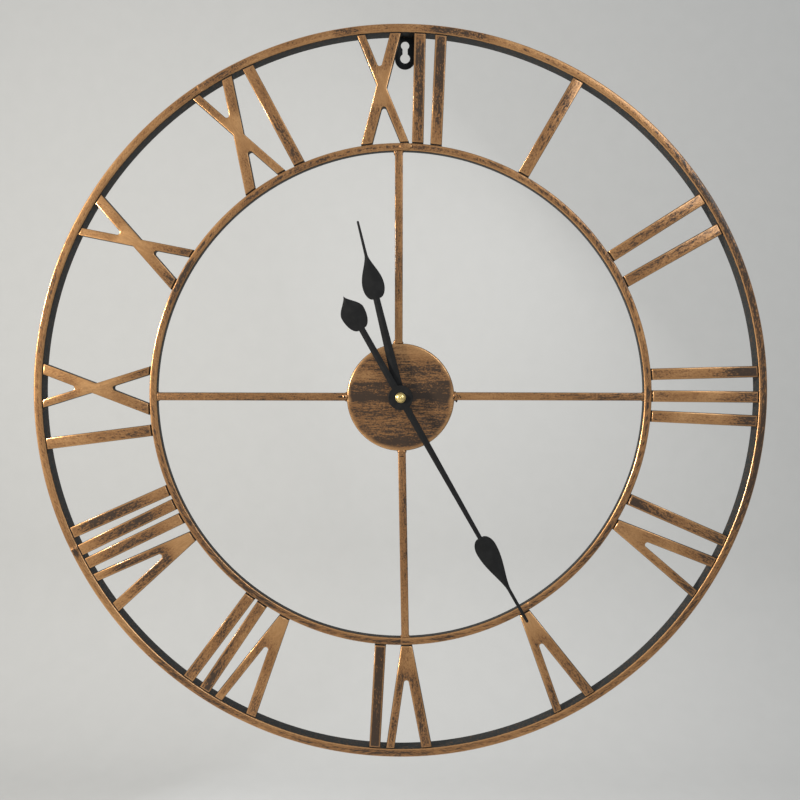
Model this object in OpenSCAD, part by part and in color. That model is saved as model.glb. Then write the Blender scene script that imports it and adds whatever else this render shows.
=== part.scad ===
// Skeleton wall clock with welded sheet-metal numerals and a quartz movement.
// Millimetres. The wall is the plane y = 0, the clock faces -Y and Z is up.
// The Y axis is the axis of the dial. A "stand-off" is a distance in front of the wall.

/* [Dial frame] */
// Outside radius of the outer ring
dial_r = 300; // [290:1:320]
// Width of the outer ring, seen from the front
outer_ring_w = 6.9; // [5:0.1:8]
// Outside radius of the inner ring
inner_ring_r = 205.5; // [200:0.5:210]
// Width of the inner ring, seen from the front
inner_ring_w = 6.3; // [4:0.1:7]
// Stand-off of the front face of the rings, numerals and centre disc
front = 24; // [24:0.5:26]
// Depth of the outer ring from front to back
outer_ring_depth = 12; // [8:0.5:14]
// Depth of the inner ring and of the numerals
numeral_depth = 6; // [4:0.5:8]
// Sheet thickness of the rings, numerals and centre cup
sheet = 1.2; // [0.8:0.1:1.4]
// Side of the square spokes
spoke_w = 6.4; // [4:0.1:7]
// Outside radius of the centre cup, which rests on the wall
cup_r = 44; // [42:0.5:46]
// Radius of the rounded front rim of the centre cup
cup_rim = 2.5; // [2:0.1:3]

/* [Numerals] */
// Width of an upright bar
bar_w = 9.3; // [7:0.1:9.5]
// Width of the broad stroke of a V or an X
broad_w = 8.6; // [7:0.1:9]
// Width of the fine stroke of an X
fine_w = 6.4; // [5:0.1:7]
// Width of the fine stroke of a V
fine_v_w = 6.8; // [5:0.1:7]
// Radius that fills the corners between two strokes
crotch_r = 2; // [1.5:0.1:2.2]

/* [Hanger] */
// Width of the keyhole plate
hanger_w = 16.5; // [14:0.5:18]
// Thickness of the keyhole plate
hanger_t = 1.5; // [1:0.1:2]
// Distance of the keyhole plate to the right of the dial axis
hanger_x = 3.7; // [0:0.1:4]
// Height of the hole that the hanging screw rests in
seat_z = 287; // [285:0.5:288]
// Radius of that hole
seat_r = 3.4; // [3:0.1:3.6]
// Height of the hole that the screw head enters
entry_z = 276.7; // [276:0.1:277]
// Radius of that hole
entry_r = 4; // [3.8:0.1:4.2]
// Width of the slot between the two holes
keyhole_slot = 4.1; // [3:0.1:4.2]

/* [Hands] */
// Clockwise angle of the hour hand from twelve
hour_angle = 346.3; // [0:0.1:359.9]
// Clockwise angle of the minute hand from twelve
minute_angle = 150.5; // [0:0.5:359.5]
// Length of the hour hand from its axis
hour_len = 146; // [130:1:150]
// Length of the minute hand from its axis
minute_len = 211; // [195:1:220]
// Length of the minute hand's tail
tail_len = 93.3; // [88:0.1:96]
// Radius of the round hub of each hand
hub_r = 10; // [8:0.5:11]
// Thickness of the hands
hand_t = 0.7; // [0.5:0.1:0.9]

/* [Movement] */
// Side of the square movement case
case_w = 56; // [56:0.1:56.5]
// Wall thickness of the movement case
case_wall = 1.2; // [1:0.1:1.2]
// Radius of an AA cell
cell_r = 7.25; // [7:0.05:7.25]
// Length of an AA cell with its button
cell_len = 50.5; // [49:0.5:50.5]
// Outside radius of the threaded bushing
bushing_r = 4; // [3.9:0.1:4]
// Radial clearance of a pivot in its hole
running = 0.1; // [0.08:0.01:0.1]

/* [Hidden] */
$fn = 180;
EXTRA = 1;

BLACK = [0.13, 0.13, 0.14];
COPPER = [0.66, 0.46, 0.27];
STEEL = [0.6, 0.6, 0.62];
BRASS = [0.78, 0.68, 0.34];
CASE = [0.16, 0.16, 0.17];
NYLON = [0.9, 0.89, 0.84];

// Stand-offs of the frame
outer_back = front - outer_ring_depth;
numeral_back = front - numeral_depth;
outer_inner_r = dial_r - outer_ring_w;
inner_inner_r = inner_ring_r - inner_ring_w;
ring_corner = 1.5;

// Strokes, as [place at the inner ring, place at the outer ring] across each numeral,
// clockwise places positive. The letters were laid by hand, so no two are quite alike.
// V: [apex, broad leg, fine leg]. X: [broad foot, broad top, fine foot, fine top].
BARS = [
    [[-4, -3.8]],
    [[-13.7, -17.3], [10.1, 10.9]],
    [[-18.8, -21.1], [-1, -0.2], [15.4, 19.6]],
    [[-21.3, -31]],
    [],
    [[16.7, 21.6]],
    [[13.6, 19.6], [25.6, 36.1]],
    [[3.9, 10.4], [16.9, 22.9], [29.4, 38.9]],
    [[-27.3, -38.5]],
    [],
    [[23.6, 26.5]],
    [[13.8, 15.8], [28.7, 32.7]]
];
VEES = [
    [], [], [],
    [2.2, -11.1, 19.5],
    [0.4, -13, 17.5],
    [-5, -21.9, 8.6],
    [-8, -24.7, 6],
    [-13.6, -33.1, -3.1],
    [], [], [], []
];
EXES = [
    [], [], [], [], [], [], [], [],
    [-9.5, 23.7, 21.4, -5.3],
    [-12.5, 17, 16, -13.5],
    [-21.5, 7.5, 7.5, -22],
    [-26.7, -4, 3.2, -32.5]
];
stroke_span = outer_inner_r - inner_ring_r;
apex_w = 9;
patch_overlap = 0.6;
reach = 20;

// Sideways place of each spoke at the cup and at the inner ring, clockwise positive
SPOKES = [["top", 0, -1.6, -1.3], ["right", 90, -1, -0.4],
          ["bottom", 180, -0.3, -3.9], ["left", 270, 0.3, 0.8]];
bead_r = 1.8;
bead_depth = 3.6;

// Stand-offs of the movement and of the stack on its bushing
case_back = 6;
case_front = 22;
cover_t = 1;
cover_inside = case_back + cover_t;
plate_inside = case_front - case_wall;
plate_back = front - sheet;
washer_top = front + 0.6;
nut_top = washer_top + 2.4;
bushing_top = nut_top + 0.3;
hour_hand_back = 29;
minute_hand_back = 31.4;
cap_base = minute_hand_back + hand_t;
cap_h = 3.4;
cap_r = 4.1;
nut_flats = 10;
washer_r = 7;

// Case plan
half_case = case_w / 2;
bay_top = -12.2;
bay_wall = 1;
bay_bottom = -half_case + case_wall;
bay_half = half_case - case_wall;
cell_z = (bay_top + bay_bottom) / 2;
cell_stand = 13.4;
case_corner = 3;

// Gears: tooth counts and modules of the meshing pairs
rotor_teeth = 8;
step_teeth = 40;
step_module = 0.28;
step_pinion_teeth = 10;
seconds_teeth = 60;
seconds_module = 0.25;
train_pinion_teeth = 8;
third_teeth = 64;
third_arm = 10.2;
third_module = 2 * third_arm / (third_teeth + train_pinion_teeth);
minute_teeth = 60;
minute_module = 2 * third_arm / (minute_teeth + train_pinion_teeth);
cannon_teeth = 12;
motion_teeth = 36;
motion_arm = 8.4;
cannon_module = 2 * motion_arm / (cannon_teeth + motion_teeth);
motion_pinion_teeth = 10;
hour_teeth = 40;
hour_module = 2 * motion_arm / (motion_pinion_teeth + hour_teeth);
rotor_arm = step_module * (rotor_teeth + step_teeth) / 2;
step_arm = seconds_module * (step_pinion_teeth + seconds_teeth) / 2;

// Directions from one arbor to the next, anticlockwise from +X, and the arbors' places
third_dir = 30;
step_dir = 150;
rotor_dir = 180;
motion_dir = 90;
knob_dir = 120;
third_at = polar(third_arm, third_dir);
step_at = polar(step_arm, step_dir);
rotor_at = step_at + polar(rotor_arm, rotor_dir);
motion_at = polar(motion_arm, motion_dir);
knob_at = motion_at + polar(motion_arm, knob_dir);

// Stand-offs of the wheels, back face of each, and thicknesses
wheel_t = 0.8;
pinion_t = 1.4;
seconds_layer = 8.6;
third_layer = 10.3;
stator_layer = 10.2;
core_layer = 11;
step_layer = 12.9;
bridge_layer = 14.3;
bridge_t = 0.6;
minute_layer = 15.6;
motion_layer = 17.1;
hour_layer = 18.6;
pivot_r = 0.35;
pivot_back = 6.7;
boss_top = 7.8;

// Radii of the three concentric arbors
seconds_arbor_r = 0.55;
minute_bore_r = seconds_arbor_r + running;
minute_arbor_r = 1.5;
hour_bore_r = minute_arbor_r + running;
hour_tube_r = 2.5;
bushing_bore_r = hour_tube_r + running;

// Places of the coil and its supports
coil_x = -22.3;
coil_low = -6;
coil_high = 14;
coil_r = 3.6;
flange_r = 4;
flange_t = 0.8;
core_low = -9.5;
core_high = 17.5;
pillar_low = -8;
pillar_high = 16;
magnet_r = 3;
stator_hole_r = 3.4;
stator_r = 4.2;
BRIDGE_PILLARS = [[-15, -9.3], [20.5, -8.5], [16.5, 17.5]];
pillar_r = 1.3;

function polar(r, a) = [r * cos(a), r * sin(a)];

// ---- Placing ----

// A flat shape, drawn as seen from the front, between two stand-offs
module slab(from, to) {
    translate([0, -from, 0])
    rotate([90, 0, 0])
    linear_extrude(to - from)
    children();
}

// A profile of [radius, stand-off] turned about an axis at a place on the dial
module turned(at = [0, 0]) {
    translate([at[0], 0, at[1]])
    rotate([90, 0, 0])
    rotate_extrude()
    children();
}

// A round bar or pin from one stand-off to another
module arbor(r, from, to, at = [0, 0]) {
    slab(from, to)
    translate(at)
    circle(r);
}

module annulus(outside, inside) {
    difference() {
        circle(outside);
        circle(inside);
    }
}

// A rectangle whose corners at the top are rounded
module round_top(w, h, corner) {
    square([w, h - corner]);
    translate([corner, h - corner])
    square([w - 2 * corner, corner]);
    for (x = [corner, w - corner])
        translate([x, h - corner])
        circle(corner);
}

module round_rect(w, h, corner) {
    square([w - 2 * corner, h], center = true);
    square([w, h - 2 * corner], center = true);
    for (x = [-1, 1], y = [-1, 1])
        translate([x * (w / 2 - corner), y * (h / 2 - corner)])
        circle(corner);
}

// ---- Rings, spokes and cup ----

// A ring pressed as a channel that is open at the back
module channel_ring(inside, w, back) {
    turned()
    difference() {
        translate([inside, back])
        round_top(w, front - back, ring_corner);
        translate([inside + sheet, back - EXTRA])
        square([w - 2 * sheet, front - back - sheet + EXTRA]);
    }
}

module outer_ring() {
    color(COPPER)
    channel_ring(outer_inner_r, outer_ring_w, outer_back);
}

module inner_ring() {
    color(COPPER)
    channel_ring(inner_inner_r, inner_ring_w, numeral_back);
}

// A spoke pointing up, longer than it is cut
module spoke_strip(s) {
    polygon([[s[2] - spoke_w / 2, 0], [s[2] + spoke_w / 2, 0],
             [s[3] + spoke_w / 2, inner_ring_r], [s[3] - spoke_w / 2, inner_ring_r]]);
}

// Sideways place of a spoke at a radius
function spoke_place(s, r) = s[2] + (s[3] - s[2]) * r / inner_ring_r;

// Outline of a spoke, cut to the cup and to the inner ring
module spoke_outline(s) {
    rotate(-s[1])
    intersection() {
        annulus(inner_inner_r, cup_r);
        spoke_strip(s);
    }
}

module spoke(s) {
    color(COPPER)
    slab(front - spoke_w, front - 0.3)
    spoke_outline(s);
}

// Weld metal in the corners at both ends of every spoke
module weld_beads() {
    color(COPPER)
    slab(front - spoke_w, front - spoke_w + bead_depth)
    for (s = SPOKES)
        rotate(-s[1])
        difference() {
            intersection() {
                annulus(inner_inner_r, cup_r);
                for (side = [-1, 1], r = [cup_r, inner_inner_r])
                    translate([spoke_place(s, r) + side * spoke_w / 2, r])
                    circle(bead_r);
            }
            spoke_strip(s);
        }
}

// A drawn cup: flat disc in front, open at the wall
module centre_cup() {
    color(COPPER)
    difference() {
        turned()
        difference() {
            cup_profile(cup_r, front, cup_rim);
            translate([0, -EXTRA])
            cup_profile(cup_r - sheet, plate_back + EXTRA, cup_rim - sheet);
        }
        arbor(bushing_r + running, plate_back - EXTRA, front + EXTRA);
    }
}

module cup_profile(r, h, corner) {
    square([r - corner, h]);
    square([r, h - corner]);
    translate([r - corner, h - corner])
    circle(corner);
}

// ---- Numerals ----

// One straight stroke that leans from its foot to its top
module stroke(foot, top, w) {
    lean = (top - foot) / stroke_span;
    half = w / 2 * sqrt(1 + lean * lean);
    polygon([[foot - lean * reach - half, inner_ring_r - reach],
             [foot - lean * reach + half, inner_ring_r - reach],
             [top + lean * reach + half, outer_inner_r + reach],
             [top + lean * reach - half, outer_inner_r + reach]]);
}

// Fills the sharp corner above or below a crossing to a round one.
// a and b are the edges that meet, as [place at the inner ring, lean].
module crotch_fill(a, b, up) {
    corner_y = (b[0] - a[0]) / (a[1] - b[1]);
    corner_x = a[0] + a[1] * corner_y;
    half_angle = abs(atan(a[1]) - atan(b[1])) / 2;
    bisector = (a[1] + b[1]) / 2;
    depth = up * crotch_r / sin(half_angle);
    flank = depth * pow(cos(half_angle), 2);
    // the patch runs a little way into both strokes, so that all three join
    side = sign((a[1] - b[1]) * flank) * patch_overlap;
    difference() {
        polygon([[corner_x, inner_ring_r + corner_y - up * patch_overlap],
                 [corner_x + a[1] * flank + side, inner_ring_r + corner_y + flank],
                 [corner_x + b[1] * flank - side, inner_ring_r + corner_y + flank]]);
        translate([corner_x + bisector * depth, inner_ring_r + corner_y + depth])
        circle(crotch_r);
    }
}

// An edge of a stroke as [place at the inner ring, lean]; side is -1 or 1
function stroke_edge(foot, top, w, side) =
    let (lean = (top - foot) / stroke_span)
    [foot + side * w / 2 * sqrt(1 + lean * lean), lean];

// The point of an edge at a distance beyond the inner ring
function edge_point(edge, beyond) = [edge[0] + edge[1] * beyond, inner_ring_r + beyond];

// Both legs of a V as one outline, with a round crotch between them
module letter_v(v, slim) {
    broad_foot = v[0] - (apex_w - broad_w) / 2;
    fine_foot = v[0] + (apex_w - fine_v_w) / 2;
    if (slim > 0) {
        stroke(broad_foot, v[1], broad_w - slim);
        stroke(fine_foot, v[2], fine_v_w - slim);
    } else {
        a = stroke_edge(broad_foot, v[1], broad_w, 1);
        b = stroke_edge(fine_foot, v[2], fine_v_w, -1);
        left = stroke_edge(broad_foot, v[1], broad_w, -1);
        right = stroke_edge(fine_foot, v[2], fine_v_w, 1);
        corner_y = (b[0] - a[0]) / (a[1] - b[1]);
        half_angle = (atan(b[1]) - atan(a[1])) / 2;
        depth = crotch_r / sin(half_angle);
        flank = corner_y + depth * pow(cos(half_angle), 2);
        difference() {
            polygon([edge_point(left, -reach), edge_point(left, stroke_span + reach),
                     edge_point(a, stroke_span + reach), edge_point(a, flank),
                     edge_point(b, flank), edge_point(b, stroke_span + reach),
                     edge_point(right, stroke_span + reach), edge_point(right, -reach)]);
            translate([a[0] + a[1] * corner_y + (a[1] + b[1]) / 2 * depth,
                       inner_ring_r + corner_y + depth])
            circle(crotch_r);
        }
    }
}

module letter_x(x, slim) {
    stroke(x[0], x[1], broad_w - slim);
    stroke(x[2], x[3], fine_w - slim);
    if (slim == 0) {
        crotch_fill(stroke_edge(x[0], x[1], broad_w, -1),
                    stroke_edge(x[2], x[3], fine_w, 1), 1);
        crotch_fill(stroke_edge(x[0], x[1], broad_w, 1),
                    stroke_edge(x[2], x[3], fine_w, -1), -1);
    }
}

// All strokes of one numeral; slim takes the folded walls off for the hollow inside
module numeral_outline(hour, slim) {
    for (bar = BARS[hour - 1])
        stroke(bar[0], bar[1], bar_w - slim);
    if (len(VEES[hour - 1]) > 0)
        letter_v(VEES[hour - 1], slim);
    if (len(EXES[hour - 1]) > 0)
        letter_x(EXES[hour - 1], slim);
}

// Channels open at the back and cut to both rings
module numeral(hour) {
    color(COPPER)
    difference() {
        slab(numeral_back, front)
        rotate(-30 * hour)
        intersection() {
            numeral_outline(hour, 0);
            annulus(outer_inner_r, inner_ring_r);
        }
        slab(numeral_back - EXTRA, front - sheet)
        rotate(-30 * hour)
        numeral_outline(hour, 2 * sheet);
    }
}

// ---- Hanger ----

module hanger_plate() {
    low = entry_z - hanger_w / 2 - 0.5;
    high = dial_r - 2;
    color(BLACK)
    slab(outer_back - hanger_t, outer_back)
    translate([hanger_x, 0])
    difference() {
        union() {
            translate([0, low + hanger_w / 2])
            circle(hanger_w / 2);
            translate([-hanger_w / 2, low + hanger_w / 2])
            square([hanger_w, high - low - hanger_w / 2]);
        }
        translate([0, seat_z])
        circle(seat_r);
        translate([0, entry_z])
        circle(entry_r);
        translate([-keyhole_slot / 2, entry_z])
        square([keyhole_slot, seat_z - entry_z]);
    }
}

// ---- Movement case ----

module movement_base() {
    color(CASE)
    difference() {
        union() {
            slab(case_back, case_front)
            round_rect(case_w, case_w, case_corner);
            arbor(bushing_r, case_front, bushing_top);
        }
        difference() {
            // gear space, left open at the back for the cover
            slab(case_back - EXTRA, plate_inside)
            polygon([[-bay_half, bay_top + bay_wall], [bay_half, bay_top + bay_wall],
                     [bay_half, bay_half], [-bay_half, bay_half]]);
            // pillars that carry the bridge, the coil and the third and motion wheels
            for (p = BRIDGE_PILLARS)
                arbor(pillar_r, bridge_layer + bridge_t, case_front, p);
            for (z = [pillar_low, pillar_high])
                arbor(pillar_r + 0.3, core_layer + 1, case_front, [coil_x, z]);
            arbor(1.2, 17, case_front, third_at);
            arbor(0.7, 16.9, case_front, motion_at);
        }
        // battery bay, open at the back
        slab(case_back - EXTRA, plate_inside)
        polygon([[-bay_half, bay_bottom], [bay_half, bay_bottom],
                 [bay_half, bay_top], [-bay_half, bay_top]]);
        arbor(bushing_bore_r, plate_inside - EXTRA, bushing_top + EXTRA);
        arbor(pivot_r + running, 17 - EXTRA, 19, third_at);
        for (z = [pillar_low, pillar_high])
            arbor(0.7 + running, core_layer, 16.5, [coil_x, z]);
        // opening for the cover
        slab(case_back - EXTRA, cover_inside)
        cover_outline();
    }
}

module cover_outline() {
    intersection() {
        round_rect(case_w - case_wall, case_w - case_wall, case_corner - case_wall / 2);
        translate([-case_w, bay_top + bay_wall / 2])
        square([2 * case_w, case_w]);
    }
}

module movement_cover() {
    color(CASE)
    difference() {
        union() {
            slab(case_back, cover_inside)
            cover_outline();
            for (p = [rotor_at, step_at, [0, 0], third_at])
                arbor(1.2, cover_inside, boss_top, p);
        }
        for (p = [rotor_at, step_at, [0, 0], third_at])
            arbor(pivot_r + running, pivot_back - 0.2, boss_top + EXTRA, p);
        arbor(1.5 + running, case_back - EXTRA, cover_inside + EXTRA, knob_at);
    }
}

// Middle plate that holds the front pivots of the rotor and the step wheel
module gear_bridge() {
    color(NYLON)
    slab(bridge_layer, bridge_layer + bridge_t)
    difference() {
        polygon([[-16.6, -10.8], [22.5, -10.8], [22.5, 19.5], [-7.5, 19.5], [-16.6, 11]]);
        for (p = [rotor_at, step_at])
            translate(p)
            circle(pivot_r + running);
        circle(seconds_arbor_r + 2 * running);
        translate(third_at)
        circle(1);
        translate(knob_at)
        circle(1.9);
    }
}

module rubber_washer() {
    color(BLACK)
    slab(case_front, plate_back)
    annulus(11, bushing_r + running);
}

module fixing_washer() {
    color(BRASS)
    slab(front, washer_top)
    annulus(washer_r, bushing_r + running);
}

module fixing_nut() {
    color(BRASS)
    slab(washer_top, nut_top)
    difference() {
        circle(r = nut_flats / sqrt(3), $fn = 6);
        circle(bushing_r + running / 2);
    }
}

// ---- Battery and contacts ----

module along_x(from, to) {
    translate([from, 0, 0])
    rotate([90, 0, 90])
    linear_extrude(to - from)
    children();
}

// A disc around the cell's axis, between two places along X
module cell_disc(r, from, to) {
    along_x(from, to)
    translate([-cell_stand, cell_z])
    circle(r);
}

module battery() {
    half = cell_len / 2;
    color(STEEL) {
        cell_disc(cell_r, -half, half - 1.2);
        cell_disc(2.7, half - 1.2, half);
    }
}

module contact_positive() {
    color(STEEL) {
        along_x(bay_half - 0.4, bay_half)
        translate([-cell_stand, cell_z])
        square([10, 9], center = true);
        cell_disc(2, cell_len / 2 + 0.1, bay_half - 0.4);
    }
}

module contact_negative() {
    color(STEEL) {
        along_x(-bay_half, -bay_half + 0.4)
        translate([-cell_stand, cell_z])
        square([10, 9], center = true);
        cell_disc(3.2, -bay_half + 0.4, -cell_len / 2 - 0.4);
        cell_disc(1.8, -cell_len / 2 - 0.4, -cell_len / 2 - 0.1);
    }
}

// ---- Electronics and motor ----

board_w = 16;
board_h = 6.6;
board_at = [-17.5, 22.6];
board_layer = 12;

module circuit_board() {
    color([0.15, 0.4, 0.22])
    slab(board_layer, board_layer + 0.8)
    translate(board_at)
    square([board_w, board_h], center = true);
}

module quartz_crystal() {
    color(STEEL)
    translate([board_at[0] - 7, -board_layer + 1, board_at[1] - 1.4])
    rotate([0, 90, 0])
    cylinder(r = 1, h = 6);
}

module timing_chip() {
    color(BLACK)
    turned(board_at + [4, 0])
    polygon([[0, board_layer - 1.1], [1.2, board_layer - 1], [2.2, board_layer - 0.6],
             [2.6, board_layer], [0, board_layer]]);
}

module stator() {
    arm_w = 2.2;
    color(STEEL)
    slab(stator_layer, core_layer)
    difference() {
        union() {
            translate(rotor_at)
            circle(stator_r);
            for (z = [pillar_low, pillar_high])
                translate([coil_x - 1, z - arm_w / 2])
                square([rotor_at[0] + 1.6 - coil_x + 1, arm_w]);
            translate([rotor_at[0] - 1.6, pillar_low - arm_w / 2])
            square([3.2, pillar_high - pillar_low + arm_w]);
        }
        translate(rotor_at)
        circle(stator_hole_r);
        for (z = [pillar_low, pillar_high])
            translate([coil_x, z])
            circle(0.7 + running);
    }
}

module coil_core() {
    color(STEEL)
    slab(core_layer, core_layer + 1)
    difference() {
        translate([coil_x - 1.2, core_low])
        square([2.4, core_high - core_low]);
        for (z = [pillar_low, pillar_high])
            translate([coil_x, z])
            circle(0.7 + running);
    }
}

// Shapes drawn across the coil's axis, between two heights
module up_coil(from, to) {
    translate([coil_x, -core_layer - 0.5, from])
    linear_extrude(to - from)
    children();
}

module coil_bobbin() {
    color(NYLON)
    difference() {
        union() {
            up_coil(coil_low, coil_high)
            circle(2);
            up_coil(coil_low, coil_low + flange_t)
            circle(flange_r);
            up_coil(coil_high - flange_t, coil_high)
            circle(flange_r);
        }
        up_coil(coil_low - EXTRA, coil_high + EXTRA)
        square([2.6, 1.2], center = true);
    }
}

module coil_winding() {
    color([0.72, 0.4, 0.2])
    up_coil(coil_low + flange_t, coil_high - flange_t)
    annulus(coil_r, 2);
}

module stator_screws() {
    color(STEEL)
    for (z = [pillar_low, pillar_high]) {
        arbor(1.5, stator_layer - 0.8, stator_layer, [coil_x, z]);
        arbor(0.7, stator_layer, 15.5, [coil_x, z]);
    }
}

// ---- Gears ----

// Outline of a gear with one tooth towards phase, in degrees.
// The teeth are a little thinner than half the pitch, which leaves backlash.
module gear_outline(teeth, mod, phase) {
    pitch_r = teeth * mod / 2;
    root = pitch_r - 1.25 * mod;
    tip = pitch_r + 0.8 * mod;
    step = 360 / teeth;
    polygon([for (i = [0:teeth - 1], c = [[root, -0.27], [pitch_r, -0.19], [tip, -0.08],
                                          [tip, 0.08], [pitch_r, 0.19], [root, 0.27]])
             polar(c[0], phase + step * (i + c[1]))]);
}

module gear(teeth, mod, phase, back, t, at) {
    slab(back, back + t)
    translate(at)
    gear_outline(teeth, mod, phase);
}

// Phase of a gear whose gap faces a tooth that lies towards dir from its partner
function gap_phase(dir, teeth) = dir + 180 + 180 / teeth;

module pivoted(at, from, to, r) {
    arbor(pivot_r, pivot_back, from, at);
    arbor(r, from, to, at);
}

module rotor() {
    color([0.3, 0.3, 0.32]) {
        pivoted(rotor_at, boss_top + 0.3, bridge_layer - 0.2, 0.6);
        arbor(magnet_r, stator_layer - 0.6, core_layer + 0.6, rotor_at);
        arbor(pivot_r, bridge_layer - 0.2, bridge_layer + bridge_t, rotor_at);
        gear(rotor_teeth, step_module, rotor_dir + 180 + 180 / rotor_teeth,
             step_layer - 0.2, 1.2, rotor_at);
    }
}

module step_wheel() {
    color(NYLON) {
        pivoted(step_at, boss_top + 0.1, bridge_layer - 0.2, 0.6);
        arbor(pivot_r, bridge_layer - 0.2, bridge_layer + bridge_t, step_at);
        gear(step_teeth, step_module, rotor_dir, step_layer, wheel_t, step_at);
        gear(step_pinion_teeth, seconds_module, gap_phase(step_dir, step_pinion_teeth),
             seconds_layer - 0.3, pinion_t, step_at);
    }
}

module seconds_wheel() {
    color(NYLON) {
        pivoted([0, 0], boss_top + 0.2, 24, seconds_arbor_r);
        gear(seconds_teeth, seconds_module, step_dir, seconds_layer, wheel_t, [0, 0]);
        gear(train_pinion_teeth, third_module, third_dir + 180 / train_pinion_teeth,
             third_layer - 0.3, pinion_t, [0, 0]);
    }
}

module third_wheel() {
    color(NYLON) {
        pivoted(third_at, boss_top + 0.2, 16.8, 0.6);
        arbor(pivot_r, 16.8, 18.8, third_at);
        gear(third_teeth, third_module, third_dir + 180, third_layer, wheel_t, third_at);
        gear(train_pinion_teeth, minute_module, gap_phase(third_dir, train_pinion_teeth),
             minute_layer - 0.3, pinion_t, third_at);
    }
}

// Centre wheel with the tube that carries the minute hand
module minute_wheel() {
    color(BRASS)
    difference() {
        union() {
            gear(minute_teeth, minute_module, third_dir, minute_layer, wheel_t, [0, 0]);
            gear(cannon_teeth, cannon_module, motion_dir + 180 / cannon_teeth,
                 motion_layer - 0.2, 1.1, [0, 0]);
            arbor(minute_arbor_r, minute_layer - 0.4, cap_base + cap_h - 1);
        }
        arbor(minute_bore_r, minute_layer - EXTRA, 25);
    }
}

module motion_wheel() {
    color(NYLON)
    difference() {
        union() {
            gear(motion_teeth, cannon_module, motion_dir + 180, motion_layer, 0.7, motion_at);
            gear(motion_pinion_teeth, hour_module, gap_phase(motion_dir, motion_pinion_teeth),
                 motion_layer + 0.7, 1.7, motion_at);
        }
        arbor(0.7 + running, motion_layer - EXTRA, 20, motion_at);
    }
}

// Hour wheel with the tube that carries the hour hand
module hour_wheel() {
    color(NYLON)
    difference() {
        union() {
            gear(hour_teeth, hour_module, motion_dir, hour_layer, wheel_t, [0, 0]);
            arbor(3.4, hour_layer, plate_inside - 0.2);
            arbor(hour_tube_r, plate_inside - 0.2, hour_hand_back + hand_t + 0.3);
        }
        arbor(hour_bore_r, hour_layer - EXTRA, 32);
    }
}

// The tooth of the motion wheel nearest the knob, as an angle past the line of centres
motion_step = 360 / motion_teeth;
past = motion_dir + 180 - knob_dir;
tooth_past = past - motion_step * round(past / motion_step);

module setting_knob() {
    color(NYLON) {
        slab(case_back - 3.2, case_back - 0.3)
        translate(knob_at)
        difference() {
            circle(5);
            for (i = [0:11])
                rotate(30 * i)
                translate([5.2, 0])
                circle(0.6);
        }
        arbor(1.5, case_back - 0.3, motion_layer - 0.2, knob_at);
        gear(cannon_teeth, cannon_module,
             gap_phase(knob_dir, cannon_teeth) - tooth_past * motion_teeth / cannon_teeth,
             motion_layer - 0.2, 1.1, knob_at);
    }
}

// ---- Hands ----

// A hand's outline points up from the axis: pairs of [half width, distance out]
module hand_outline(sides) {
    flipped = [for (i = [len(sides) - 1:-1:0]) [-sides[i][0], sides[i][1]]];
    polygon(concat(sides, flipped));
}

// Half width of a spade along its length: t runs from 0 at its foot to 1 at its point
function spade_half(t, foot, widest, half, point) =
    t < widest
    ? foot + (half - foot) * sqrt(max(0, 1 - pow(1 - t / widest, 2)))
    : point + (half - point) * pow(cos(90 * (t - widest) / (1 - widest)), 1.5);

function spade(from, to, foot, widest, half, point) =
    [for (i = [0:16]) let (t = i / 16)
     [spade_half(t, foot, widest, half, point), from + (to - from) * t]];

module hour_hand() {
    tip = hour_len;
    spade_sides = spade(82, 118, 2.7, 0.3, 8.9, 1.2);
    color(BLACK)
    slab(hour_hand_back, hour_hand_back + hand_t)
    rotate(-hour_angle)
    difference() {
        union() {
            circle(hub_r - 0.5);
            hand_outline(concat([[4.2, 0]], spade_sides, [[0.9, tip - 1]]));
            translate([0, tip - 1])
            circle(1);
        }
        circle(hour_tube_r + running / 2);
    }
}

module hour_hand_boss() {
    color(BLACK)
    slab(hour_hand_back - 1.6, hour_hand_back)
    annulus(4, hour_tube_r + running / 2);
}

module minute_hand() {
    tip = minute_len;
    spade_sides = spade(131, 179.5, 1.8, 0.22, 8.8, 1.4);
    leaf_sides = spade(63.3, tail_len, 2.6, 0.5, 10.1, 0.2);
    color(BLACK)
    slab(minute_hand_back, minute_hand_back + hand_t)
    rotate(-minute_angle)
    difference() {
        union() {
            circle(hub_r);
            hand_outline(concat([[2.9, 0]], spade_sides, [[1.3, tip - 1.3]]));
            translate([0, tip - 1.3])
            circle(1.3);
            rotate(180)
            hand_outline(concat([[2.7, 0]], leaf_sides));
        }
        circle(minute_arbor_r + running / 2);
    }
}

module minute_hand_boss() {
    color(BLACK)
    slab(minute_hand_back - 1.2, minute_hand_back)
    annulus(3.6, minute_arbor_r + running / 2);
}

// Domed nut that holds the minute hand
module cap_nut() {
    rim = 1;
    dome_r = (cap_r * cap_r + pow(cap_h - rim, 2)) / (2 * (cap_h - rim));
    color(BRASS)
    difference() {
        turned()
        difference() {
            intersection() {
                translate([0, cap_base])
                square([cap_r, cap_h]);
                translate([0, cap_base + cap_h - dome_r])
                circle(dome_r);
            }
            translate([0, cap_base + cap_h])
            circle(0.5);
        }
        arbor(minute_arbor_r + running / 2, cap_base - EXTRA, cap_base + cap_h - 0.9);
    }
}

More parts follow.
